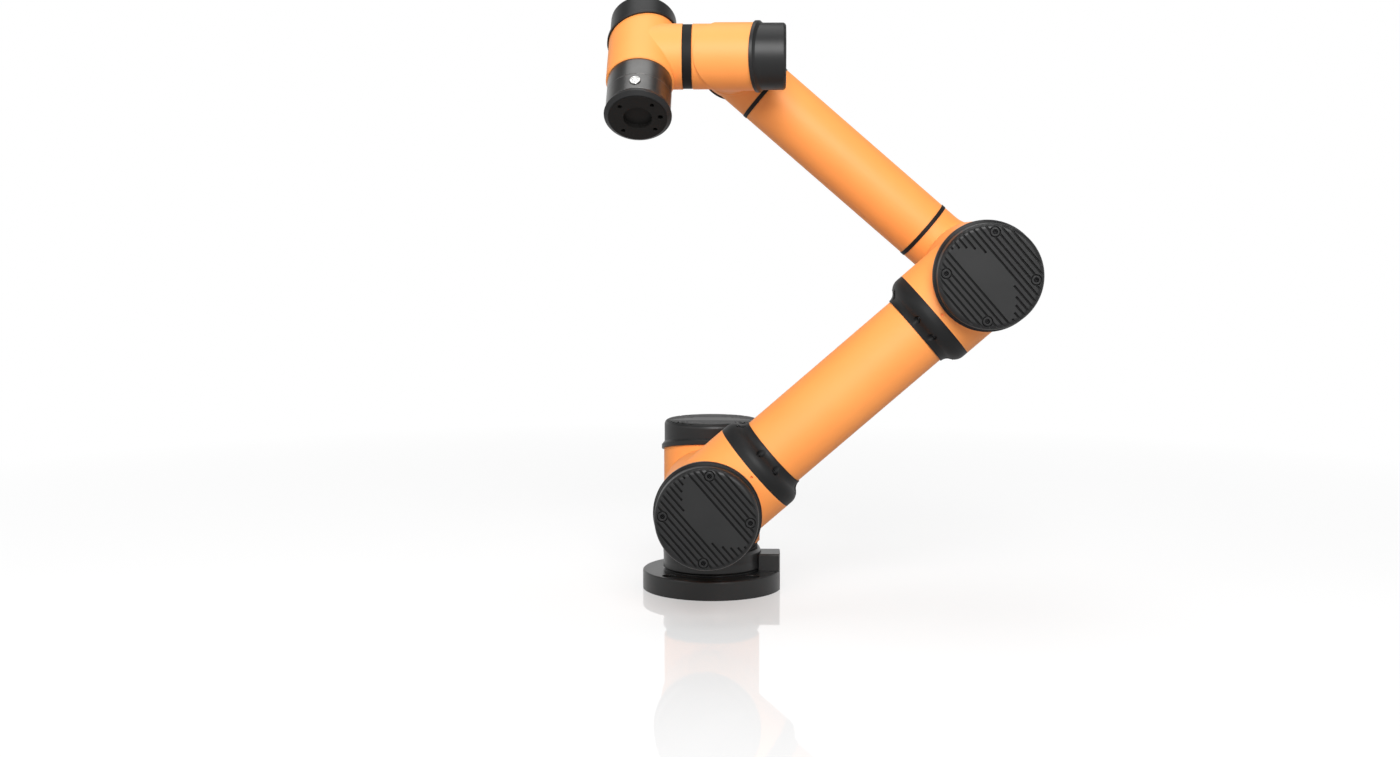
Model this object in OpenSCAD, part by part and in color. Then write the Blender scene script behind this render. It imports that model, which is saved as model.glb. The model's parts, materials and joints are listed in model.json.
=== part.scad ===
// Six-axis robot arm, bolted down at its base plate and posed with the elbow raised.
// The origin is the middle of the base plate's underside, on the first joint's axis.
// The arm lies in planes across Y: its covers on the second and third joints face -Y.

/* [Base] */
// Radius of the round base plate
base_plate_r = 84.75; // [82:0.25:90]
// Depth of the flat in the plate's edge, where the cable block ends
base_flat = 1.25; // [0.5:0.25:3]
// Thickness of the base plate
base_plate_t = 23; // [18:0.5:28]
// Distance from the plate's edge to the circle that the mounting holes lie on
base_hole_inset = 13.5; // [11:0.5:15.5]
// Radius of a mounting hole
base_hole_r = 4.5; // [3:0.25:5]
// Radius of the seat round a mounting hole
base_seat_r = 8; // [6.5:0.25:8.5]
// Depth of the seat round a mounting hole
base_seat_depth = 8; // [4:0.5:12]
// Radius of the column that stands on the plate
column_r = 59.8; // [57:0.2:61]
// Height of the column's top edge above the floor
column_top_z = 50; // [46:0.5:52]
// Depth of the waist turned into the column
column_waist = 0.6; // [0.3:0.1:2.5]
// Radius of the seal ring between the column and the shoulder
base_seal_r = 56; // [53:0.5:57]
// Width across the cable block at the side of the base
cable_block_w = 37; // [30:1:46]
// Height of the cable block above the plate
cable_block_h = 21; // [16:0.5:24]
// Least length of the cable block, inwards from the plate's flat
cable_block_len = 23.3; // [18:0.1:24]
// Radius of the cable inlet in the block
cable_inlet_r = 6; // [4:0.25:6.5]

/* [Link lengths] */
// Height of the second joint's axis above the floor
shoulder_z = 122; // [118:0.5:140]
// Distance from the base axis to the plane of the upper arm
shoulder_offset = 140.5; // [138:0.5:160]
// Length of the upper arm between its joint axes
upper_arm_len = 408; // [300:1:600]
// Distance from the plane of the upper arm to the plane of the forearm
elbow_offset = 126; // [120:0.5:130]
// Length of the forearm between its joint axes
forearm_len = 374; // [280:1:560]
// Distance from the plane of the forearm to the fifth joint's axis
wrist_1_offset = 111; // [100:0.5:120]
// Distance from the fourth joint's axis to the sixth joint's axis
wrist_2_offset = 101; // [99:0.5:120]
// Distance from the fifth joint's axis to the face of the tool flange
tool_reach = 100.5; // [96:0.5:115]

/* [Pose] */
// Angle of the upper arm above the floor
upper_arm_angle = 41; // [20:1:80]
// Angle of the forearm, turned the same way from the floor
forearm_angle = 139.25; // [110:0.25:160]
// Angle of the fifth joint's axis, turned the same way from the floor
wrist_1_angle = 180; // [140:1:220]
// Angle of the tool below the horizontal
wrist_2_angle = 46; // [0:1:80]
// Angle that the tool flange is turned by
tool_angle = 3; // [-20:1:20]

/* [Large joints] */
// Radius of a large joint's housing
joint_r = 58.5; // [57.5:0.25:59.5]
// Radius of the stub that leaves a large joint's housing
stub_r = 57; // [55:0.25:57.25]
// Distance from a large joint's centre to its cover's end face
joint_cap_end = 85.5; // [82:0.5:92]
// Distance from a large joint's centre to the seam of its cover
joint_seam = 49; // [46:0.25:51]
// Slope of the cover's seam
joint_seam_slope = 12; // [12:0.5:15]
// Radius of a large cover above its lip
joint_cap_r = 57.9; // [57:0.1:59]
// How far the lip of a large cover stands proud of it
joint_lip_proud = 3.4; // [2:0.1:4]
// Rounding of a large cover's edge
joint_cap_round = 6; // [2.5:0.5:7]

// Distance from the base axis to the seam of the second joint
shoulder_stub_len = 75; // [73:0.5:78]

/* [Arm tubes] */
// Radius of the upper arm's tube
upper_tube_r = 43.25; // [40:0.25:46]
// Distance from a joint axis to the near edge of the collar
collar_start = 70; // [67:0.5:74]
// Length of a collar along the upper arm
collar_len = 28.5; // [24:0.5:36]
// Thickness of a collar's lip over the tube
collar_lip = 1.4; // [0.8:0.1:3]
// Radius of the forearm's tube
forearm_tube_r = 37; // [34:0.25:37.5]
// Distance from the elbow axis to the middle of the forearm's first ring
forearm_ring_near = 73.5; // [70:0.5:90]
// Distance from the fourth joint's axis to the middle of the forearm's second ring
forearm_ring_far = 51.5; // [50:0.5:70]
// Width of a ring on the forearm
forearm_ring_w = 4.8; // [3:0.1:8]
// Depth of the elbow hub behind the plane of the forearm
hub_back = 48; // [45:0.5:56]
// Radius of the hollow blend between the elbow hub and the forearm
hub_blend_r = 35; // [20:1:45]

/* [Wrist joints] */
// Radius of a wrist joint's housing
wrist_r = 38.1; // [37.6:0.1:39]
// Radius of the stub that leaves a wrist joint's housing
wrist_stub_r = 36.8; // [35:0.1:37.4]
// Radius of a wrist joint's neck, beside its output ring
wrist_neck_r = 36.6; // [35.5:0.1:37.4]
// Distance from a wrist joint's centre to its cover's end face
wrist_cap_end = 62; // [58:0.5:64]
// Distance from a wrist joint's centre to the seam of its cover
wrist_seam = 29; // [28.5:0.25:32]
// Slope of the seam of a wrist cover
wrist_seam_slope = 13; // [13:0.5:16]
// Radius of a wrist cover above its lip
wrist_cap_r = 37.5; // [37:0.1:38.4]
// How far the lip of a wrist cover stands proud of it
wrist_lip_proud = 2.7; // [1.5:0.1:3]
// Rounding of a wrist cover's edge
wrist_cap_round = 4; // [2.5:0.5:6]
// Distance from a wrist joint's centre to its output ring
wrist_out = 43.75; // [43:0.25:46]
// Width of a wrist joint's output ring
wrist_ring_w = 10.25; // [6:0.25:11]

/* [Tool flange] */
// Distance from the last joint's centre to the end of the orange housing
barrel_start = 43.5; // [40:0.5:46]
// Distance from the last joint's centre to the seam of the turning flange
barrel_end = 68; // [64:0.5:72]
// Radius of the metal barrel
barrel_r = 36; // [34:0.25:37]
// Largest radius of the flange's rim
flange_rim_r = 37.5; // [37:0.25:39]
// Radius of the flange's flat face
flange_face_r = 32; // [30.5:0.25:33]
// Length of the rim along the flange
flange_rim_len = 9.5; // [8:0.5:14]
// Radius of the circle of tool holes
tool_hole_circle_r = 25; // [22:0.25:26]
// Radius of a tool hole
tool_hole_r = 2.5; // [2:0.1:3]
// Depth of a tool hole
tool_hole_depth = 10; // [6:0.5:14]
// Radius of the locating hole beside the tool holes
tool_pin_r = 3; // [2:0.1:3.25]
// Radius of the centring bore
tool_bore_r = 15.75; // [12:0.25:18]
// Depth of the centring bore
tool_bore_depth = 6; // [3:0.5:10]
// Radius of the tool connector on the barrel
connector_r = 6.2; // [4:0.1:7]

/* [Cover pattern] */
// Spacing of the grooves on a cover, as a share of the cover's radius
groove_pitch_share = 0.106; // [0.08:0.002:0.13]
// Width of a groove, as a share of the spacing
groove_width_share = 0.38; // [0.3:0.02:0.6]
// Depth of a groove
groove_depth = 1.8; // [0.6:0.1:2.4]
// Radius of a screw recess in a large cover
cover_screw_r = 2.8; // [2:0.1:3.2]
// Distance from a large cover's edge to its circle of screws
cover_screw_inset = 9.3; // [8:0.1:12]
// Depth of a screw recess
cover_screw_depth = 5; // [3:0.5:8]

/* [Hidden] */
$fn = 96;

// Colours of the finishes
orange_paint = [1.0, 0.55, 0.22];
cover_black = [0.2, 0.2, 0.21];
base_black = [0.16, 0.17, 0.17];
seal_black = [0.07, 0.07, 0.07];
barrel_metal = [0.42, 0.41, 0.4];
connector_grey = [0.8, 0.8, 0.78];

// Clear gap at a running seam between two bodies
running_gap = 0.4;
// Overrun of every cut past the face that it leaves
overrun = 1;
// Steps in an arc of an outline
arc_steps = 10;
// Reach of a half-space that trims a piece
trim_span = 3 * joint_cap_end;

// Height of the seal ring between the column and the shoulder
seal_h = 7.6;

// Circle that the mounting holes lie on, and the face that the cable block ends at
base_hole_circle_r = base_plate_r - base_hole_inset;
block_end = base_plate_r - base_flat;

// Derived sizes of the joints
joint_out = shoulder_z - column_top_z - seal_h - running_gap;
upper_out = shoulder_offset - shoulder_stub_len;
hub_out = elbow_offset - upper_out;
elbow_x = upper_arm_len * cos(upper_arm_angle);
elbow_z = shoulder_z + upper_arm_len * sin(upper_arm_angle);
forearm_y = elbow_offset - shoulder_offset;
wrist_ring_end = wrist_out + wrist_ring_w;
joint_top = joint_seam + joint_r * tan(joint_seam_slope) + overrun;
wrist_top = wrist_seam + wrist_r * tan(wrist_seam_slope) + overrun;
base_edge = 2;
column_foot = 2;
column_bevel = 3.6;
block_edge = 1.5;
inlet_flange = 1.6;
inlet_depth = 9;
housing_edge = 1.2;
hub_round = 14;
blend_sink = 2;
ring_proud = 0.6;
lip_band = 5;
lip_flare = 4.5;
wrist_lip_band = 3.8;
wrist_lip_flare = 3.5;
flare_sink = 0.3;
step_back = 2;
collar_straight = 6.5;
pocket_r = 4.4;
pocket_floor = 15.5;
pocket_spread = 15;
dimple_r = 1.75;
dimple_depth = 3;
dimple_x = 65.5;
flange_edge = 4.5;
face_step = 0.8;
connector_proud = 1;

// Points along an arc, angles in degrees
function arc_points(x, y, r, from, to) = [
    for (i = [0 : arc_steps])
        let (a = from + (to - from) * i / arc_steps)
        [x + r * cos(a), y + r * sin(a)]
];

// A turned solid about Z from its half outline
module turned(outline) {
    rotate_extrude()
        polygon(outline);
}

// Everything above a plane at height seam that rises towards +X
module above_seam(seam, slope) {
    translate([0, 0, seam])
        rotate([0, -slope, 0])
            translate([-trim_span, -trim_span, 0])
                cube([2 * trim_span, 2 * trim_span, 2 * trim_span]);
}

// Everything below that plane
module below_seam(seam, slope) {
    translate([0, 0, seam])
        rotate([0, -slope, 0])
            translate([-trim_span, -trim_span, -2 * trim_span])
                cube([2 * trim_span, 2 * trim_span, 2 * trim_span]);
}

// Drum of a joint along Z, with a broken edge at its output end
module drum(r, out, top) {
    turned([[0, -out], [r - housing_edge, -out], [r, -out + housing_edge], [r, top], [0, top]]);
}

// Housing of a large joint: a drum with a stub along +X, trimmed at its cover's seam
module large_housing(out, branch_len) {
    difference() {
        union() {
            drum(joint_r, out, joint_top);
            along_x()
                cylinder(r = stub_r, h = branch_len);
        }
        above_seam(joint_seam, joint_seam_slope);
    }
}

// Drum of a wrist joint with a neck at its output end, where the wide part ends in a round step
module necked_drum() {
    step_r = wrist_out - step_back;
    drum(wrist_neck_r, wrist_out, wrist_top);
    intersection() {
        translate([0, 0, -step_r])
            cylinder(r = wrist_r, h = step_r + wrist_top);
        union() {
            translate([-wrist_r - overrun, 0, 0])
                along_x()
                    cylinder(r = step_r, h = 2 * (wrist_r + overrun));
            cylinder(r = wrist_r + overrun, h = wrist_top + overrun);
        }
    }
}

// Housing of a wrist joint: its drum with a stub along +X, trimmed at its cover's seam
module wrist_housing(branch_r, branch_len) {
    difference() {
        union() {
            children();
            along_x()
                cylinder(r = branch_r, h = branch_len);
        }
        above_seam(wrist_seam, wrist_seam_slope);
    }
}

// Grooves across a cover's end face, along Y: the middle ones stop at a plain field, a disc set
// off towards the stub
field_lines = 2;
field_offset_share = 0.676;
field_r_share = 0.975;
module cover_grooves(r, edge, end) {
    pitch = groove_pitch_share * r;
    width = groove_width_share * pitch;
    lines = floor((r - edge / 2) / pitch);
    for (i = [-lines : lines]) {
        x = i * pitch;
        half = sqrt(r * r - x * x);
        off = x - field_offset_share * r;
        plain = abs(i) > field_lines ? 0 : sqrt(pow(field_r_share * r, 2) - off * off);
        for (side = [0, 1])
            mirror([0, side, 0])
                translate([x - width / 2, plain, end - groove_depth])
                    cube([width, half - plain, groove_depth + overrun]);
    }
}

// Round posts on the diagonals of a cover's end face, from a depth below it up past it
module cover_posts(circle_r, post_r, end, depth) {
    for (a = [45 : 90 : 315])
        rotate([0, 0, a])
            translate([circle_r, 0, end - depth])
                cylinder(r = post_r, h = depth + 2 * overrun);
}

// Cover of one joint: a rounded cup on the sloping seam, flared out to a proud lip, with four screw
// recesses in ringed pads between the grooves
pad_share = 1.7;
ring_share = 0.5;
module joint_cover(r, seam, slope, end, proud, band, flare, edge, screw_r, screw_inset) {
    lip_r = r + proud;
    low = seam - lip_r * tan(slope) - overrun;
    high = seam + lip_r * tan(slope) + band + overrun;
    screw_circle_r = r - screw_inset;
    pad_r = pad_share * screw_r;
    difference() {
        union() {
            turned(concat(
                [[0, low], [r, low]],
                arc_points(r - edge, end - edge, edge, 0, 90),
                [[0, end]]
            ));
            intersection() {
                translate([0, 0, low])
                    cylinder(r = lip_r, h = high - low);
                below_seam(seam + band, slope);
            }
            translate([0, 0, seam + band])
                rotate([0, -slope, 0])
                    turned([
                        [0, -band / 2], [lip_r - flare_sink, -band / 2], [lip_r - flare_sink, 0],
                        [r - flare_sink, flare], [0, flare]
                    ]);
        }
        below_seam(seam, slope);
        difference() {
            union() {
                cover_grooves(r, edge, end);
                cover_posts(screw_circle_r, pad_r + ring_share * screw_r, end, groove_depth);
            }
            cover_posts(screw_circle_r, pad_r, end, groove_depth + overrun);
        }
        cover_posts(screw_circle_r, screw_r, end, cover_screw_depth);
    }
}

// Places of the arm's pieces
module at_shoulder() {
    translate([0, 0, shoulder_z])
        rotate([0, 0, -90])
            children();
}

module at_upper_arm(x) {
    translate([0, -shoulder_offset, shoulder_z])
        rotate([0, -upper_arm_angle, 0])
            translate([x, 0, 0])
                children();
}

module at_lower_joint() {
    at_upper_arm(0)
        rotate([90, 0, 0])
            children();
}

module at_elbow_joint() {
    at_upper_arm(upper_arm_len)
        rotate([90, 0, 0])
            rotate([0, 0, 180])
                children();
}

module at_forearm(x) {
    translate([elbow_x, forearm_y, elbow_z])
        rotate([0, -forearm_angle, 0])
            translate([x, 0, 0])
                children();
}

module at_elbow_hub() {
    at_forearm(0)
        rotate([90, 0, 0])
            children();
}

module at_wrist_1() {
    at_forearm(forearm_len)
        rotate([-90, 0, 0])
            rotate([0, 0, 180])
                children();
}

module at_fifth_axis(x) {
    at_forearm(forearm_len)
        translate([0, -wrist_1_offset, 0])
            rotate([0, forearm_angle - wrist_1_angle, 0])
                translate([x, 0, 0])
                    children();
}

module at_wrist_2() {
    at_fifth_axis(0)
        rotate([0, -90, 0])
            rotate([0, 0, 90])
                children();
}

module at_wrist_3() {
    at_fifth_axis(wrist_2_offset)
        rotate([-90 - wrist_2_angle, 0, 0])
            rotate([0, 0, 180])
                children();
}

module at_tool() {
    at_wrist_3()
        rotate([0, 0, -tool_angle])
            translate([0, 0, -tool_reach])
                children();
}

module along_x() {
    rotate([0, 90, 0])
        children();
}

module base_plate() {
    color(base_black)
        difference() {
            turned(concat(
                [[0, 0], [base_plate_r, 0]],
                arc_points(base_plate_r - base_edge, base_plate_t - base_edge, base_edge, 0, 90),
                [[0, base_plate_t]]
            ));
            translate([block_end, -base_plate_r, -overrun])
                cube([base_flat + overrun, 2 * base_plate_r, base_plate_t + 2 * overrun]);
            for (a = [45 : 90 : 315])
                rotate([0, 0, a])
                    translate([base_hole_circle_r, 0, 0]) {
                        translate([0, 0, -overrun])
                            cylinder(r = base_hole_r, h = base_plate_t + 2 * overrun);
                        translate([0, 0, base_plate_t - base_seat_depth])
                            cylinder(r = base_seat_r, h = base_seat_depth + overrun);
                    }
        }
}

// The base column, cut back wherever the cable block reaches into it
module base_column() {
    waist_mid = (base_plate_t + column_top_z) / 2;
    color(base_black)
        difference() {
            turned([
                [0, base_plate_t],
                [column_r - column_foot, base_plate_t],
                [column_r - column_foot, base_plate_t + column_foot],
                [column_r, base_plate_t + 2 * column_foot],
                [column_r - column_waist, waist_mid],
                [column_r, column_top_z - column_bevel],
                [column_r - column_bevel / 2, column_top_z],
                [0, column_top_z]
            ]);
            block_form();
        }
}

module at_inlet() {
    translate([block_end - inlet_depth, 0, base_plate_t + cable_block_h / 2])
        along_x()
            children();
}

// Solid form of the cable block: it reaches the column, and is rounded to the plate's edge at its corners
module block_form() {
    hollow_r = min(block_end - cable_block_len, column_r + running_gap);
    start = hollow_r - column_bevel;
    half = cable_block_w / 2;
    difference() {
        intersection() {
            translate([start, 0, base_plate_t])
                rotate([90, 0, 90])
                    linear_extrude(block_end - start)
                        polygon([
                            [-half, 0], [half, 0], [half, cable_block_h - block_edge],
                            [half - block_edge, cable_block_h], [block_edge - half, cable_block_h],
                            [-half, cable_block_h - block_edge]
                        ]);
            cylinder(r = base_plate_r - base_edge / 4, h = base_plate_t + cable_block_h + overrun);
        }
        cylinder(r = hollow_r, h = column_top_z + overrun);
    }
}

module cable_block() {
    color(base_black)
        difference() {
            block_form();
            at_inlet()
                cylinder(r = cable_inlet_r + inlet_flange, h = inlet_depth + overrun);
        }
}

module cable_inlet() {
    color(seal_black)
        at_inlet()
            difference() {
                cylinder(r = cable_inlet_r + inlet_flange, h = inlet_depth);
                translate([0, 0, inlet_flange])
                    cylinder(r = cable_inlet_r, h = inlet_depth);
            }
}

module base_seal_ring() {
    color(seal_black)
        translate([0, 0, column_top_z])
            turned([
                [0, 0], [base_seal_r, 0], [base_seal_r, seal_h / 3], [base_seal_r - seal_h / 6, seal_h / 2],
                [base_seal_r, 2 * seal_h / 3], [base_seal_r, seal_h], [0, seal_h]
            ]);
}

module shoulder_housing() {
    color(orange_paint)
        at_shoulder()
            large_housing(joint_out, shoulder_stub_len);
}

module large_cover() {
    color(cover_black)
        joint_cover(joint_cap_r, joint_seam, joint_seam_slope, joint_cap_end,
            joint_lip_proud, lip_band, lip_flare, joint_cap_round, cover_screw_r, cover_screw_inset);
}

module shoulder_cap() {
    at_shoulder()
        large_cover();
}

// Housing at one end of the upper arm, with a small dimple in its stub
module arm_housing() {
    difference() {
        large_housing(upper_out - running_gap, collar_start);
        translate([dimple_x, 0, stub_r - dimple_depth])
            cylinder(r = dimple_r, h = dimple_depth + overrun);
    }
}

module lower_joint_housing() {
    color(orange_paint)
        at_lower_joint()
            arm_housing();
}

module lower_joint_cap() {
    at_lower_joint()
        large_cover();
}

// Collar along Z from the stub's radius down to the tube, straight, convex and then hollow, with
// pairs of screw pockets that open towards the tube
convex_share = 0.58;
pocket_circle_share = 0.865;
module collar() {
    end_r = upper_tube_r + collar_lip;
    drop = stub_r - end_r;
    curved = collar_len - collar_straight;
    turn = 2 * atan(drop / curved);
    radii = curved / sin(turn);
    bulge = convex_share * radii;
    hollow = radii - bulge;
    color(cover_black)
        difference() {
            turned(concat(
                [[0, 0], [stub_r, 0]],
                arc_points(stub_r - bulge, collar_straight, bulge, 0, turn),
                arc_points(end_r + hollow, collar_len, hollow, 180 + turn, 180),
                [[0, collar_len]]
            ));
            for (a = [0 : 90 : 270], side = [-1, 1])
                rotate([0, 0, a + side * pocket_spread])
                    translate([pocket_circle_share * stub_r, 0, pocket_floor])
                        cylinder(r = pocket_r, h = collar_len);
        }
}

module lower_collar() {
    at_upper_arm(collar_start)
        along_x()
            collar();
}

module upper_arm_tube() {
    start = collar_start + collar_len;
    color(orange_paint)
        at_upper_arm(start)
            along_x()
                cylinder(r = upper_tube_r, h = upper_arm_len - 2 * start);
}

module upper_collar() {
    at_upper_arm(upper_arm_len - collar_start)
        rotate([0, -90, 0])
            collar();
}

module elbow_joint_housing() {
    color(orange_paint)
        at_elbow_joint()
            arm_housing();
}

module elbow_joint_cap() {
    at_elbow_joint()
        large_cover();
}

// Hub that turns on the elbow joint, blended into the start of the forearm
module elbow_hub() {
    inner_r = stub_r - blend_sink;
    centre_r = forearm_tube_r + hub_blend_r;
    centre_x = sqrt(pow(inner_r + hub_blend_r, 2) - pow(centre_r, 2));
    touch = atan2(centre_r, centre_x);
    end = forearm_ring_near - forearm_ring_w / 2;
    color(orange_paint)
        at_elbow_hub()
            union() {
                turned(concat(
                    [[0, hub_out]],
                    [[stub_r - housing_edge, hub_out], [stub_r, hub_out - housing_edge]],
                    arc_points(stub_r - hub_round, hub_round - hub_back, hub_round, 0, -90),
                    [[0, -hub_back]]
                ));
                along_x()
                    turned(concat(
                        [[0, 0], [inner_r * sin(touch), 0]],
                        arc_points(centre_r, centre_x, hub_blend_r, 270 - touch, 180),
                        [[forearm_tube_r, end], [0, end]]
                    ));
            }
}

module forearm_ring() {
    color(seal_black)
        along_x()
            cylinder(r = forearm_tube_r + ring_proud, h = forearm_ring_w);
}

module forearm_lower_ring() {
    at_forearm(forearm_ring_near - forearm_ring_w / 2)
        forearm_ring();
}

module forearm_tube() {
    start = forearm_ring_near + forearm_ring_w / 2;
    end = forearm_len - forearm_ring_far - forearm_ring_w / 2;
    color(orange_paint)
        at_forearm(start)
            along_x()
                cylinder(r = forearm_tube_r, h = end - start);
}

module forearm_upper_ring() {
    at_forearm(forearm_len - forearm_ring_far - forearm_ring_w / 2)
        forearm_ring();
}

module wrist_cover() {
    color(cover_black)
        joint_cover(wrist_cap_r, wrist_seam, wrist_seam_slope, wrist_cap_end,
            wrist_lip_proud, wrist_lip_band, wrist_lip_flare, wrist_cap_round,
            cover_screw_r * wrist_screw_share, cover_screw_inset * wrist_screw_share);
}
wrist_screw_share = 0.75;

module wrist_ring() {
    color(seal_black)
        translate([0, 0, -wrist_ring_end])
            cylinder(r = wrist_neck_r - ring_proud, h = wrist_ring_w);
}

module wrist_1_housing() {
    color(orange_paint)
        at_wrist_1()
            wrist_housing(forearm_tube_r, forearm_ring_far - forearm_ring_w / 2)
                necked_drum();
}

module wrist_1_cap() {
    at_wrist_1()
        wrist_cover();
}

module wrist_1_ring() {
    at_wrist_1()
        wrist_ring();
}

module wrist_2_housing() {
    color(orange_paint)
        at_wrist_2()
            wrist_housing(wrist_stub_r, wrist_1_offset - wrist_ring_end - running_gap)
                necked_drum();
}

module wrist_2_cap() {
    at_wrist_2()
        wrist_cover();
}

module wrist_2_ring() {
    at_wrist_2()
        wrist_ring();
}

module wrist_3_housing() {
    color(orange_paint)
        at_wrist_3()
            wrist_housing(wrist_stub_r, wrist_2_offset - wrist_ring_end - running_gap)
                drum(wrist_r, barrel_start, wrist_top);
}

module wrist_3_cap() {
    at_wrist_3()
        wrist_cover();
}

module wrist_3_barrel() {
    color(barrel_metal)
        at_wrist_3()
            translate([0, 0, -barrel_end])
                cylinder(r = barrel_r, h = barrel_end - barrel_start);
}

// The turning flange: its barrel, and a face with a centring bore, tool holes and a locating hole
module tool_flange() {
    core = tool_reach - barrel_end - running_gap;
    shaft = core - flange_rim_len;
    color(barrel_metal)
        at_tool()
            difference() {
                union() {
                    cylinder(r = flange_face_r, h = core);
                    translate([0, 0, flange_rim_len])
                        cylinder(r = barrel_r, h = shaft);
                }
                translate([0, 0, -overrun])
                    cylinder(r = tool_bore_r, h = tool_bore_depth + overrun);
                for (a = [45 : 90 : 315])
                    rotate([0, 0, a])
                        translate([tool_hole_circle_r, 0, -overrun])
                            cylinder(r = tool_hole_r, h = tool_hole_depth + overrun);
                translate([tool_hole_circle_r, 0, -overrun])
                    cylinder(r = tool_pin_r, h = tool_hole_depth + overrun);
                at_connector()
                    cylinder(r = connector_r, h = connector_r + overrun);
            }
}

// Floor of the tool connector's seat, halfway along the bare part of the turning barrel
module at_connector() {
    translate([0, 0, (tool_reach - barrel_end + flange_rim_len) / 2])
        rotate([0, 0, -90])
            along_x()
                translate([0, 0, barrel_r - connector_r])
                    children();
}

module tool_flange_rim() {
    color(cover_black)
        at_tool()
            difference() {
                turned([
                    [0, face_step], [flange_face_r + face_step, face_step], [flange_rim_r, flange_edge],
                    [barrel_r, flange_rim_len], [0, flange_rim_len]
                ]);
                cylinder(r = flange_face_r, h = flange_rim_len + overrun);
            }
}

module tool_connector() {
    color(connector_grey)
        at_tool()
            at_connector()
                cylinder(r = connector_r - running_gap, h = connector_r + connector_proud);
}

base_plate();
base_column();
cable_block();
cable_inlet();
base_seal_ring();
shoulder_housing();
shoulder_cap();
lower_joint_housing();
lower_joint_cap();
lower_collar();
upper_arm_tube();
upper_collar();
elbow_joint_housing();
elbow_joint_cap();
elbow_hub();
forearm_lower_ring();
forearm_tube();
forearm_upper_ring();
wrist_1_housing();
wrist_1_cap();
wrist_1_ring();
wrist_2_housing();
wrist_2_cap();
wrist_2_ring();
wrist_3_housing();
wrist_3_cap();
wrist_3_barrel();
tool_flange();
tool_flange_rim();
tool_connector();
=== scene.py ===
import json
import math

import bmesh
import bpy
from mathutils import Matrix, Vector


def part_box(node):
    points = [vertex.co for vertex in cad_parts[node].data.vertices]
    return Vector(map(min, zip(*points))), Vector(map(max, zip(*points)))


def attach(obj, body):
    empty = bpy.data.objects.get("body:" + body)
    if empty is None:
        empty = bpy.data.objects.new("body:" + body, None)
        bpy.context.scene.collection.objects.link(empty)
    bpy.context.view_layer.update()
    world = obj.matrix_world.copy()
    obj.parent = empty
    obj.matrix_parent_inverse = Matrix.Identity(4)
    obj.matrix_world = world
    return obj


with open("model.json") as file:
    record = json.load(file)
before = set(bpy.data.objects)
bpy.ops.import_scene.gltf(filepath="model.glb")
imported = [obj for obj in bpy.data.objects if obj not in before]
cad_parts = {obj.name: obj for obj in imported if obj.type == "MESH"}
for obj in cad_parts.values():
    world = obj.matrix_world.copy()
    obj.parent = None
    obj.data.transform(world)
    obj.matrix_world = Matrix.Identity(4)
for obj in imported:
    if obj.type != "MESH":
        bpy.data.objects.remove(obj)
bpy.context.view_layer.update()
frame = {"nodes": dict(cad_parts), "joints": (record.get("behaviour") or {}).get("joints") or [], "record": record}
nodes = frame["nodes"]
joints = {joint["name"]: joint for joint in frame["joints"]}
print("frame loaded,", len(nodes), "nodes")


# camera at the photograph's viewing angle, metres and degrees
cameraPlace = {
    "target": Vector((-0.01471, 0.0, 0.25688)),
    "azimuth": 1.96,
    "elevation": 5.42,
    "distance": 2.18452,
    "lens": 46.103,
    "sensor": 36.0,
}


def makeCamera(place):
    around, up = math.radians(place["azimuth"]), math.radians(place["elevation"])
    back = Vector((math.sin(around) * math.cos(up), -math.cos(around) * math.cos(up), math.sin(up)))
    data = bpy.data.cameras.new("camera")
    data.lens = place["lens"]
    data.sensor_width = place["sensor"]
    camera = bpy.data.objects.new("camera", data)
    camera.location = place["target"] + back * place["distance"]
    camera.rotation_euler = back.to_track_quat("Z", "Y").to_euler()
    bpy.context.scene.collection.objects.link(camera)
    bpy.context.scene.camera = camera


makeCamera(cameraPlace)
bpy.context.scene.view_settings.view_transform = "Standard"
print("camera set")


# a socket of one finish, so that shader maths reads as sums
class Wire:
    def __init__(self, finish, socket):
        self.finish = finish
        self.socket = socket

    def __add__(self, other):
        return self.finish.maths("ADD", self, other)

    def __radd__(self, other):
        return self.finish.maths("ADD", other, self)

    def __sub__(self, other):
        return self.finish.maths("SUBTRACT", self, other)

    def __rsub__(self, other):
        return self.finish.maths("SUBTRACT", other, self)

    def __mul__(self, other):
        return self.finish.maths("MULTIPLY", self, other)

    def __rmul__(self, other):
        return self.finish.maths("MULTIPLY", other, self)


# how open a face must be to count as a groove or as clear, and how much of the painted shade shows in grooves
hollowLook = {"samples": 8, "shut": 0.46, "clear": 0.82, "share": 0.85}
edgeSamples = 6


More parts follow.
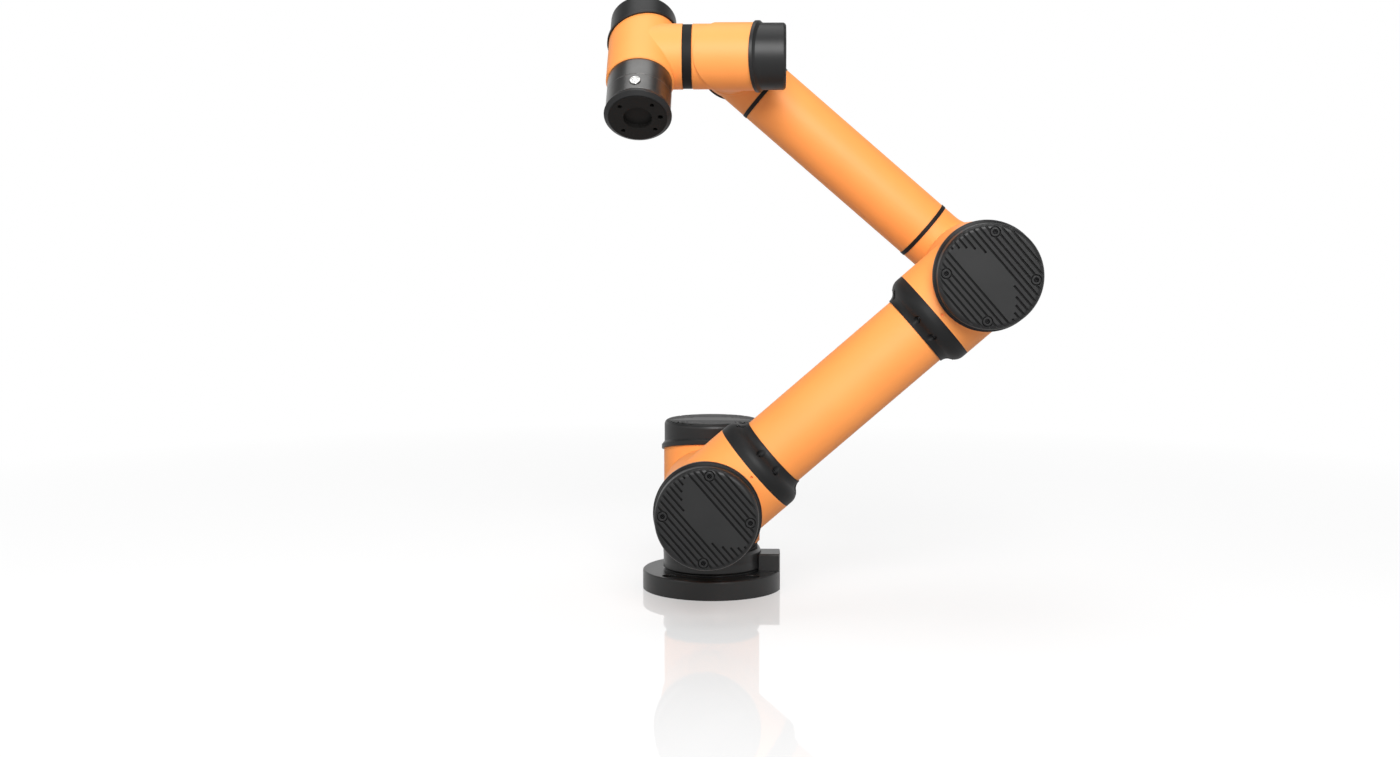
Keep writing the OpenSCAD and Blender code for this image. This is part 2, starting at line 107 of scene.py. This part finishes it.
# one node tree, of a material or of the world
class Finish:
    def __init__(self, owner):
        owner.use_nodes = True
        self.owner = owner
        self.tree = owner.node_tree
        self.tree.nodes.clear()

    def node(self, kind, settings=None, inputs=None, out=0):
        made = self.tree.nodes.new(kind)
        for name, value in (settings or {}).items():
            setattr(made, name, value)
        for name, value in (inputs or {}).items():
            if isinstance(value, Wire):
                self.tree.links.new(value.socket, made.inputs[name])
            else:
                made.inputs[name].default_value = value
        return Wire(self, made.outputs[out]) if len(made.outputs) else made

    def maths(self, operation, first, second):
        return self.node("ShaderNodeMath", {"operation": operation}, {0: first, 1: second})

    def clamp(self, value, low, high):
        return self.node("ShaderNodeClamp", {}, {"Value": value, "Min": low, "Max": high})

    def spread(self, value, low, high):
        limits = {"Value": value, "From Min": low, "From Max": high}
        return self.node("ShaderNodeMapRange", {"clamp": True}, limits)

    def dot(self, first, second):
        return self.node("ShaderNodeVectorMath", {"operation": "DOT_PRODUCT"}, {0: first, 1: second}, "Value")

    def mix(self, factor, first, second):
        return self.node("ShaderNodeMix", {"data_type": "RGBA"}, {0: factor, 6: first, 7: second}, 2)

    def mixShader(self, factor, first, second):
        return self.node("ShaderNodeMixShader", {}, {0: factor, 1: first, 2: second})

    def noise(self, place, scale, detail):
        return self.node("ShaderNodeTexNoise", {}, {"Vector": place, "Scale": scale, "Detail": detail})

    # a noise's swing about its middle
    def sway(self, noise, amount):
        return amount * (noise - 0.5)

    def place(self):
        return self.node("ShaderNodeTexCoord", out="Object")

    # which kinds of ray are looking, one mask each
    def rays(self):
        kinds = ("Is Camera Ray", "Is Glossy Ray", "Is Transmission Ray")
        return {name: self.node("ShaderNodeLightPath", out=name) for name in kinds}

    # normal rounded over sharp edges, and a mask of those edges
    def softEdges(self, radius):
        rounded = self.node("ShaderNodeBevel", {"samples": edgeSamples}, {"Radius": radius})
        flat = self.node("ShaderNodeNewGeometry", out="Normal")
        return rounded, 1.0 - self.dot(rounded, flat)

    # mask of painted shade, from ambient occlusion: high down in grooves, holes and corners, 0 on open faces
    def hollows(self, distance):
        settings = {"samples": hollowLook["samples"], "only_local": True}
        light = self.node("ShaderNodeAmbientOcclusion", settings, {"Distance": distance}, "AO")
        share = hollowLook["share"]
        return share - share * self.spread(light, hollowLook["shut"], hollowLook["clear"])

    # cloudy body colour, with the cloud, the wear on edges and the rounded normal
    def wornBody(self, place, look):
        cloud = self.noise(place, look["cloudScale"], look["cloudDetail"])
        rounded, edge = self.softEdges(look["edgeRadius"])
        wear = self.spread(edge * self.noise(place, look["wearScale"], look["wearDetail"]), *look["wearBand"])
        body = self.mix(self.spread(cloud, *look["cloudBand"]), look["deep"], look["colour"])
        return body, cloud, wear, rounded

    def bump(self, height, depth, strength, normal):
        return self.node("ShaderNodeBump", {}, {
            "Height": height, "Distance": depth, "Strength": strength, "Normal": normal,
        })

    def output(self, shader):
        self.node("ShaderNodeOutputMaterial", {}, {"Surface": shader})
        return self.owner


def newFinish(name):
    return Finish(bpy.data.materials.new(name))


def shade(red, green, blue):
    return (red, green, blue, 1.0)


orangeLook = {
    "colour": shade(1.0, 0.347, 0.074),
    "deep": shade(0.98, 0.325, 0.066),
    "edge": shade(0.97, 0.47, 0.16),
    "roughness": 0.6,
    "patchy": 0.08,
    "grainy": 0.05,
    "wornRough": 0.1,
    "gloss": 0.62,
    "coat": 0.08,
    "coatRoughness": 0.36,
    "edgeRadius": 0.0009,
    "cloudScale": 9.0,
    "cloudDetail": 3.0,
    "cloudBand": (0.35, 0.65),
    "peelScale": 620.0,
    "peelDetail": 2.0,
    "peelDepth": 0.00004,
    "peelStrength": 0.35,
    "wearScale": 160.0,
    "wearDetail": 4.0,
    "wearBand": (0.02, 0.2),
    "wearShare": 0.6,
}


def orangePaint(look):
    paint = newFinish("orangePaint")
    place = paint.place()
    body, cloud, wear, rounded = paint.wornBody(place, look)
    peel = paint.noise(place, look["peelScale"], look["peelDetail"])
    rough = look["roughness"] + paint.sway(cloud, look["patchy"]) + paint.sway(peel, look["grainy"])
    return paint.output(paint.node("ShaderNodeBsdfPrincipled", {}, {
        "Base Color": paint.mix(wear * look["wearShare"], body, look["edge"]),
        "Roughness": rough + look["wornRough"] * wear,
        "Normal": paint.bump(peel, look["peelDepth"], look["peelStrength"], rounded),
        "Specular IOR Level": look["gloss"],
        "Coat Weight": look["coat"],
        "Coat Roughness": look["coatRoughness"],
    }))


# what the black plastics, the coated base and the rubber share
mouldedLook = {
    "cloudScale": 14.0,
    "cloudDetail": 3.0,
    "cloudBand": (0.35, 0.65),
    "wearScale": 210.0,
    "wearDetail": 4.0,
    "wearBand": (0.02, 0.25),
    "wearShare": 0.5,
    "grainDetail": 2.0,
    "grainStrength": 0.4,
    "grainy": 0.12,
    # roughness and gloss of the painted shade in grooves, holes and corners
    "paintedShadeRoughness": 0.85,
    "paintedShadeGloss": 0.03,
}

coverLook = {
    **mouldedLook,
    "colour": shade(0.0115, 0.0117, 0.012),
    "deep": shade(0.0085, 0.0087, 0.009),
    "edge": shade(0.05, 0.05, 0.05),
    # near-black colour of the painted shade in grooves, holes and corners
    "hollow": shade(0.004, 0.004, 0.004),
    "hollowReach": 0.004,
    "roughness": 0.4,
    "patchy": 0.06,
    "gloss": 0.32,
    "edgeRadius": 0.0006,
    "grainScale": 1500.0,
    "grainDepth": 0.00006,
}

collarLook = {**coverLook, "roughness": 0.5, "patchy": 0.03, "gloss": 0.2}  # duller than the covers

baseLook = {
    **mouldedLook,
    "colour": shade(0.016, 0.0165, 0.0168),
    "deep": shade(0.011, 0.0114, 0.0116),
    "edge": shade(0.06, 0.06, 0.06),
    # near-black colour of the painted shade in grooves, holes and corners
    "hollow": shade(0.004, 0.004, 0.004),
    "hollowReach": 0.006,
    "roughness": 0.32,
    "patchy": 0.08,
    "gloss": 0.42,
    "edgeRadius": 0.0012,
    "grainScale": 800.0,
    "grainDepth": 0.00005,
}

rubberLook = {
    **mouldedLook,
    "colour": shade(0.010, 0.010, 0.010),
    "deep": shade(0.006, 0.006, 0.006),
    "edge": shade(0.02, 0.02, 0.02),
    # near-black colour of the painted shade in grooves, holes and corners
    "hollow": shade(0.003, 0.003, 0.003),
    "hollowReach": 0.003,
    "roughness": 0.62,
    "patchy": 0.1,
    "gloss": 0.2,
    "edgeRadius": 0.0006,
    "grainScale": 1800.0,
    "grainDepth": 0.00004,
}


def mouldedPlastic(name, look):
    plastic = newFinish(name)
    place = plastic.place()
    body, cloud, wear, rounded = plastic.wornBody(place, look)
    grain = plastic.noise(place, look["grainScale"], look["grainDetail"])
    rough = look["roughness"] + plastic.sway(cloud, look["patchy"]) + plastic.sway(grain, look["grainy"])
    normal = plastic.bump(grain, look["grainDepth"], look["grainStrength"], rounded)
    face = plastic.node("ShaderNodeBsdfPrincipled", {}, {
        "Base Color": plastic.mix(wear * look["wearShare"], body, look["edge"]),
        "Roughness": rough,
        "Normal": normal,
        "Specular IOR Level": look["gloss"],
    })
    # painted shade: a near-black dull shader that the occlusion mask mixes in down in grooves, holes and corners
    paintedHollowShade = plastic.node("ShaderNodeBsdfPrincipled", {}, {
        "Base Color": look["hollow"],
        "Roughness": look["paintedShadeRoughness"],
        "Normal": normal,
        "Specular IOR Level": look["paintedShadeGloss"],
    })
    return plastic.output(plastic.mixShader(plastic.hollows(look["hollowReach"]), face, paintedHollowShade))


# how far a node's solid reaches along an axis
def reach(node, axis):
    return max(vertex.co.dot(axis) for vertex in nodes[node].data.vertices)


barrelLook = {
    "colour": shade(0.145, 0.144, 0.142),
    "deep": shade(0.118, 0.117, 0.115),
    "edge": shade(0.34, 0.33, 0.32),
    "face": shade(0.008, 0.0075, 0.007),
    "faceDepth": 0.009,
    "faceFade": 0.05,
    "faceRoughness": 0.5,
    "faceGloss": 0.15,
    "roughness": 0.33,
    "patchy": 0.06,
    "grainy": 0.05,
    "edgeRadius": 0.0006,
    "cloudScale": 60.0,
    "cloudDetail": 3.0,
    "cloudBand": (0.3, 0.7),
    "lineScale": 260.0,
    "lineWander": 1.2,
    "lineDetail": 2.0,
    "lineDepth": 0.00002,
    "lineStrength": 0.25,
    "wearScale": 240.0,
    "wearDetail": 4.0,
    "wearBand": (0.02, 0.2),
    "wearShare": 0.7,
}


# dark turned metal, with fine rings about the last joint's axis and a dull black face at its end
def turnedMetal(look):
    metal = newFinish("turnedMetal")
    axis = Vector(joints["tool_turn"]["axis"])
    place = metal.place()
    turn = axis.to_track_quat("Z", "Y").inverted().to_euler()
    along = metal.node("ShaderNodeMapping", {}, {"Vector": place, "Rotation": turn})
    rings = metal.node("ShaderNodeTexWave", {"wave_type": "BANDS", "bands_direction": "Z"}, {
        "Vector": along,
        "Scale": look["lineScale"],
        "Distortion": look["lineWander"],
        "Detail": look["lineDetail"],
    }, "Fac")
    faceFrom = reach("tool_flange", axis) - look["faceDepth"]
    face = metal.spread(metal.dot(place, axis), faceFrom, faceFrom + look["faceFade"] * look["faceDepth"])
    body, cloud, wear, rounded = metal.wornBody(place, look)
    worn = wear * look["wearShare"] * (1.0 - face)
    bare = look["roughness"] + metal.sway(cloud, look["patchy"]) + metal.sway(rings, look["grainy"])
    return metal.output(metal.node("ShaderNodeBsdfPrincipled", {}, {
        "Base Color": metal.mix(worn, metal.mix(face, body, look["face"]), look["edge"]),
        "Roughness": bare + face * (look["faceRoughness"] - look["roughness"]),
        "Metallic": 1.0 - face,
        "Normal": metal.bump(rings, look["lineDepth"], look["lineStrength"], rounded),
        "Specular IOR Level": look["faceGloss"],
    }))


# what the bright connector and the dark screws share
metalLook = {
    "cloudScale": 120.0,
    "cloudDetail": 3.0,
    "cloudBand": (0.3, 0.7),
    "wearScale": 500.0,
    "wearDetail": 3.0,
    "wearBand": (0.02, 0.2),
    "wearShare": 0.7,
    "grainDetail": 3.0,
    "grainStrength": 0.3,
    "grainy": 0.12,
}

connectorLook = {
    **metalLook,
    "colour": shade(0.72, 0.72, 0.70),
    "deep": shade(0.56, 0.56, 0.55),
    "edge": shade(0.85, 0.85, 0.84),
    "roughness": 0.28,
    "edgeRadius": 0.0005,
    "grainScale": 900.0,
    "grainDepth": 0.00002,
}

screwLook = {
    **metalLook,
    "colour": shade(0.016, 0.016, 0.0165),
    "deep": shade(0.010, 0.010, 0.0105),
    "edge": shade(0.16, 0.16, 0.16),
    "roughness": 0.38,
    "edgeRadius": 0.0002,
    "grainScale": 1600.0,
    "grainDepth": 0.00002,
}


def plainMetal(name, look):
    metal = newFinish(name)
    place = metal.place()
    body, _, wear, rounded = metal.wornBody(place, look)
    grain = metal.noise(place, look["grainScale"], look["grainDetail"])
    return metal.output(metal.node("ShaderNodeBsdfPrincipled", {}, {
        "Base Color": metal.mix(wear * look["wearShare"], body, look["edge"]),
        "Roughness": look["roughness"] + metal.sway(grain, look["grainy"]),
        "Metallic": 1.0,
        "Normal": metal.bump(grain, look["grainDepth"], look["grainStrength"], rounded),
    }))


finishes = {
    "orange_paint": orangePaint(orangeLook),
    "cover_plastic": mouldedPlastic("coverPlastic", coverLook),
    "base_metal": mouldedPlastic("baseCoat", baseLook),
    "seal_rubber": mouldedPlastic("sealRubber", rubberLook),
    "barrel_metal": turnedMetal(barrelLook),
    "connector_metal": plainMetal("connectorMetal", connectorLook),
}
collarPlastic = mouldedPlastic("collarPlastic", collarLook)
screwSteel = plainMetal("screwSteel", screwLook)
for subpart in frame["record"]["subparts"]:
    mesh = nodes[subpart["node"]].data
    mesh.materials.clear()
    collar = subpart["node"].endswith("_collar")
    mesh.materials.append(collarPlastic if collar else finishes[subpart["material_slot"]])


def finishMesh(shape, name):
    mesh = bpy.data.meshes.new(name)
    shape.to_mesh(mesh)
    shape.free()
    return mesh


def addPiece(name, mesh, body, finish):
    piece = bpy.data.objects.new(name, mesh)
    bpy.context.scene.collection.objects.link(piece)
    mesh.materials.append(finish)
    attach(piece, body)
    return piece


# copies of one mesh joined into a piece that rides on a body
def layCopies(name, source, places, body, finish):
    shape = bmesh.new()
    for place in places:
        shape.from_mesh(source)
        shape.verts.ensure_lookup_table()
        bmesh.ops.transform(shape, matrix=place, verts=shape.verts[-len(source.vertices):])
    return addPiece(name, finishMesh(shape, name), body, finish)


# moves what stands on the origin to a place, with its top along an axis
def standing(place, axis):
    return Matrix.Translation(place) @ axis.to_track_quat("Z", "Y").to_matrix().to_4x4()


# places on a circle about an axis, each twisted a little more about its own middle, in radians
def roundPlaces(centre, axis, along, radius, angles, twist=0.37):
    across = axis.cross(along)
    places = []
    for index, angle in enumerate(math.radians(angle) for angle in angles):
        spot = centre + radius * (math.cos(angle) * along + math.sin(angle) * across)
        places.append(standing(spot, axis) @ Matrix.Rotation(twist * index, 4, "Z"))
    return places


# a socket screw standing on the origin, its head up
def socketScrew(look):
    headSides, socketSides = 24, 6
    shape = bmesh.new()
    rim = bmesh.ops.create_circle(shape, segments=headSides, radius=look["headRadius"])["verts"]
    bmesh.ops.create_circle(shape, segments=socketSides, radius=look["socketRadius"])
    outer = [edge for edge in shape.edges if edge.verts[0] in rim]
    hexagon = [edge for edge in shape.edges if edge not in outer]
    bmesh.ops.subdivide_edges(shape, edges=hexagon, cuts=headSides // socketSides - 1)
    inner = [edge for edge in shape.edges if edge not in outer]
    bmesh.ops.bridge_loops(shape, edges=outer + inner)
    for loop, depth in ((inner, look["socketDepth"]), (outer, look["headHeight"])):
        wall = bmesh.ops.extrude_edge_only(shape, edges=loop)["geom"]
        low = [part for part in wall if isinstance(part, bmesh.types.BMVert)]
        bmesh.ops.translate(shape, verts=low, vec=(0.0, 0.0, -depth))
        edges = [part for part in wall if isinstance(part, bmesh.types.BMEdge)]
        bmesh.ops.edgeloop_fill(shape, edges=[edge for edge in edges if set(edge.verts) <= set(low)])
    bmesh.ops.bevel(shape, geom=outer + inner, offset=look["edge"], offset_type="OFFSET", affect="EDGES",
                    segments=2, profile=0.5, material=-1, clamp_overlap=True)
    bmesh.ops.translate(shape, verts=shape.verts, vec=(0.0, 0.0, look["headHeight"]))
    bmesh.ops.recalc_face_normals(shape, faces=shape.faces)
    return finishMesh(shape, "socketScrew")


right = Vector((1.0, 0.0, 0.0))
front = Vector((0.0, -1.0, 0.0))
rear = Vector((0.0, 1.0, 0.0))
jointAt = {name: Vector(joint["pos_m"]) for name, joint in joints.items()}
armAlong = (jointAt["elbow_turn"] - jointAt["shoulder_turn"]).normalized()
forearmAlong = jointAt["wrist_1_turn"] - jointAt["elbow_turn"]
forearmAlong = (forearmAlong * Vector((1.0, 0.0, 1.0))).normalized()  # without the sideways step

# screws of the covers: recess circle and depth as in the solids, and the covers that carry them
coverScrews = {
    "large": {
        "headRadius": 0.00255, "headHeight": 0.0033, "socketRadius": 0.0015, "socketDepth": 0.0017,
        "edge": 0.0002, "circle": 0.0486, "depth": 0.005,
    },
    "small": {
        "headRadius": 0.0019, "headHeight": 0.0034, "socketRadius": 0.0011, "socketDepth": 0.0014,
        "edge": 0.00016, "circle": 0.030525, "depth": 0.005,
    },
    "angles": (45, 135, 225, 315),
    "covers": (
        ("shoulder_cap", "shoulder", "base_turn", 1.0, front, "large"),
        ("lower_joint_cap", "upper_arm", "shoulder_turn", 1.0, armAlong, "large"),
        ("elbow_joint_cap", "upper_arm", "elbow_turn", -1.0, armAlong, "large"),
        ("wrist_1_cap", "forearm", "wrist_1_turn", -1.0, forearmAlong, "small"),
        ("wrist_2_cap", "wrist_1", "wrist_2_turn", 1.0, rear, "small"),
        ("wrist_3_cap", "wrist_2", "tool_turn", -1.0, right, "small"),
    ),
}

for cover, body, joint, side, along, size in coverScrews["covers"]:
    look = coverScrews[size]
    axis = side * Vector(joints[joint]["axis"])
    seat = jointAt[joint] + axis * (reach(cover, axis) - jointAt[joint].dot(axis) - look["depth"])
    places = roundPlaces(seat, axis, along, look["circle"], coverScrews["angles"])
    layCopies(cover + "_screws", socketScrew(look), places, body, screwSteel)
print("cover screws laid")

# screws that hold the tube's collars, in pairs in their pockets
collarScrew = {
    "headRadius": 0.0036, "headHeight": 0.0026, "socketRadius": 0.0017, "socketDepth": 0.0018,
    "edge": 0.0003, "circle": 0.049305, "floor": 0.0155,
    "quarters": (0, 90, 180, 270), "turns": (-15, 15),
}

for collar, axis in (("lower_collar", armAlong), ("upper_collar", -armAlong)):
    low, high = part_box(collar)
    middle = Vector((jointAt["shoulder_turn"].x, (low.y + high.y) / 2, jointAt["shoulder_turn"].z))
    edgeAt = -reach(collar, -axis)
    seat = middle + axis * (edgeAt + collarScrew["floor"] - middle.dot(axis))
    angles = [quarter + turn for quarter in collarScrew["quarters"] for turn in collarScrew["turns"]]
    places = roundPlaces(seat, axis, rear, collarScrew["circle"], angles)
    layCopies(collar + "_screws", socketScrew(collarScrew), places, "upper_arm", screwSteel)
print("collar screws laid")


# a flat ring standing on the origin, its upper corners rounded
def flatRing(look):
    shape = bmesh.new()
    corners = [shape.verts.new((radius, 0.0, height)) for radius, height in (
        (look["inner"], 0.0), (look["inner"], look["height"]),
        (look["outer"], look["height"]), (look["outer"], 0.0))]
    for index in range(len(corners)):
        shape.edges.new((corners[index], corners[index - 1]))
    bmesh.ops.bevel(shape, geom=corners[1:3], offset=look["edge"], offset_type="OFFSET", affect="VERTICES",
                    segments=3, profile=0.5, material=-1)
    bmesh.ops.spin(shape, geom=shape.verts[:] + shape.edges[:], cent=(0, 0, 0), axis=(0, 0, 1),
                   angle=2 * math.pi, steps=look["steps"], use_merge=True)
    bmesh.ops.remove_doubles(shape, verts=shape.verts, dist=1e-6)
    bmesh.ops.recalc_face_normals(shape, faces=shape.faces)
    return shape


def addRing(name, look, place, axis, body, slot):
    ring = flatRing(look)
    bmesh.ops.transform(ring, matrix=standing(place, axis), verts=ring.verts)
    addPiece(name, finishMesh(ring, name), body, finishes[slot])


# dark seal rings in the narrow gaps of the second and third joints, partly a seal and partly painted shade that
# darkens the gaps
seamSealShade = {
    "inner": 0.047, "outer": 0.0556, "height": 0.0003, "edge": 0.00008, "steps": 96, "clearance": 0.00005,
    "seams": (
        ("shoulder_seam_seal_shade", "shoulder_turn", "shoulder"),
        ("elbow_seam_seal_shade", "elbow_turn", "forearm"),
    ),
}

for name, joint, body in seamSealShade["seams"]:
    addRing(name, seamSealShade, jointAt[joint] + front * seamSealShade["clearance"], front, body, "seal_rubber")
print("seam seals made")

# rim and contacts on the face of the tool connector
connectorFace = {
    "rim": {"inner": 0.0047, "outer": 0.0056, "height": 0.0005, "edge": 0.00015, "steps": 48},
    "pins": 7, "pinCircle": 0.0029,
    "pinRadius": 0.00048, "pinTaper": 0.8, "pinHeight": 0.00025, "pinSides": 16,
}


def connectorPieces(look):
    axis = Vector(joints["tool_turn"]["axis"])
    low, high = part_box("tool_connector")
    beside = (low + high) / 2 - jointAt["tool_turn"]
    out = (beside - axis * beside.dot(axis)).normalized()
    foot = jointAt["tool_turn"] + axis * beside.dot(axis)
    face = foot + out * (reach("tool_connector", out) - foot.dot(out))
    addRing("connector_rim", look["rim"], face, out, "tool", "connector_metal")
    pin = bmesh.new()
    bmesh.ops.create_cone(pin, cap_ends=True, segments=look["pinSides"], radius1=look["pinRadius"],
                          radius2=look["pinTaper"] * look["pinRadius"], depth=look["pinHeight"])
    bmesh.ops.translate(pin, verts=pin.verts, vec=(0.0, 0.0, look["pinHeight"] / 2))
    turns = [360 * index / look["pins"] for index in range(look["pins"])]
    places = roundPlaces(face, out, axis, look["pinCircle"], turns)
    layCopies("connector_pins", finishMesh(pin, "connectorPin"), places, "tool", screwSteel)


connectorPieces(connectorFace)
print("connector face made")


# pale floor with the object's shadow, a faint mirror image near the base, and white far off
floorLook = {
    "radius": 8.0,
    "sides": 96,
    "colour": shade(0.44, 0.44, 0.44),
    "lift": 0.56,
    "mirrored": 0.5,
    "gloss": 1.0,
    "glossIor": 1.6,
    "glossReach": 2.0,
    "roughness": 0.03,
    "whiteFrom": 0.45,
    "whiteTo": 1.7,
}
white = shade(1, 1, 1)


def makeFloor(look):
    shape = bmesh.new()
    bmesh.ops.create_circle(shape, cap_ends=True, segments=look["sides"], radius=look["radius"])
    mesh = finishMesh(shape, "floor")
    floor = bpy.data.objects.new("floor", mesh)
    bpy.context.scene.collection.objects.link(floor)
    paint = newFinish("paleFloor")
    away = paint.node("ShaderNodeVectorMath", {"operation": "LENGTH"}, {0: paint.place()}, "Value")
    near = 1.0 - paint.spread(away, 0.0, look["glossReach"])
    far = paint.spread(away, look["whiteFrom"], look["whiteTo"])
    sheen = paint.node("ShaderNodeFresnel", {}, {"IOR": look["glossIor"]})
    rays = paint.rays()
    seen = paint.clamp(sum(rays.values()) - (1.0 - look["mirrored"]) * rays["Is Glossy Ray"], 0.0, 1.0)
    dull = paint.node("ShaderNodeBsdfDiffuse", {}, {"Color": look["colour"]})
    lift = paint.node("ShaderNodeEmission", {}, {"Color": white, "Strength": look["lift"]})
    lifted = paint.node("ShaderNodeAddShader", {}, {0: dull, 1: lift})
    lit = paint.mixShader(seen, dull, lifted)
    shine = paint.node("ShaderNodeBsdfGlossy", {}, {"Color": white, "Roughness": look["roughness"]})
    both = paint.mixShader(near * sheen * look["gloss"], lit, shine)
    glow = paint.node("ShaderNodeEmission", {}, {"Color": white, "Strength": 1.0})
    mesh.materials.append(paint.output(paint.mixShader(far * seen, both, glow)))
    return floor


# the world is white where it is seen, dimmer as light, and a dim ceiling in reflections
worldLook = {"diffuse": 0.25, "shown": 1.0, "ceiling": 0.25, "ceilingFrom": 0.2, "ceilingTo": 0.6}


def makeWorld(look):
    world = bpy.data.worlds.new("studio")
    bpy.context.scene.world = world
    sky = Finish(world)
    rays = sky.rays()
    seen = sky.clamp(sum(rays.values()), 0.0, 1.0)
    facing = sky.node("ShaderNodeTexCoord", out="Generated")
    rise = sky.node("ShaderNodeSeparateXYZ", {}, {"Vector": facing}, "Z")
    ceiling = sky.spread(rise, look["ceilingFrom"], look["ceilingTo"]) * rays["Is Glossy Ray"]
    gain = (look["shown"] - look["diffuse"]) * seen
    loss = (look["shown"] - look["ceiling"]) * ceiling
    light = sky.node("ShaderNodeBackground", {}, {"Color": white, "Strength": look["diffuse"] + gain - loss})
    sky.node("ShaderNodeOutputWorld", {}, {"Surface": light})


lampLook = {
    "key": {"place": (0.45, -3.78, 2.38), "size": 2.3, "power": 194.0},
    "left": {"place": (-2.1, -1.5, 1.5), "size": 1.4, "power": 12.0},
    "top": {"place": (-0.1, 0.1, 2.8), "size": 2.0, "power": 24.0},
}
lampAim = Vector((0.0, 0.0, 0.35))


# each lamp is made twice: one for the object, and one for the floor that its shine doesn't mirror
def makeLamps(look, floor):
    for name, lamp in look.items():
        data = bpy.data.lights.new(name, "AREA")
        data.energy = lamp["power"]
        data.size = lamp["size"]
        for ending, link, mirrored in (("Object", "EXCLUDE", True), ("Floor", "INCLUDE", False)):
            light = bpy.data.objects.new(name + ending, data)
            light.location = lamp["place"]
            light.rotation_euler = (Vector(lamp["place"]) - lampAim).to_track_quat("Z", "Y").to_euler()
            light.visible_glossy = mirrored
            bpy.context.scene.collection.objects.link(light)
            lit = bpy.data.collections.new(name + ending)
            lit.objects.link(floor)
            lit.collection_objects[0].light_linking.link_state = link
            light.light_linking.receiver_collection = lit


floor = makeFloor(floorLook)
makeWorld(worldLook)
makeLamps(lampLook, floor)
print("floor, world and lamps set")
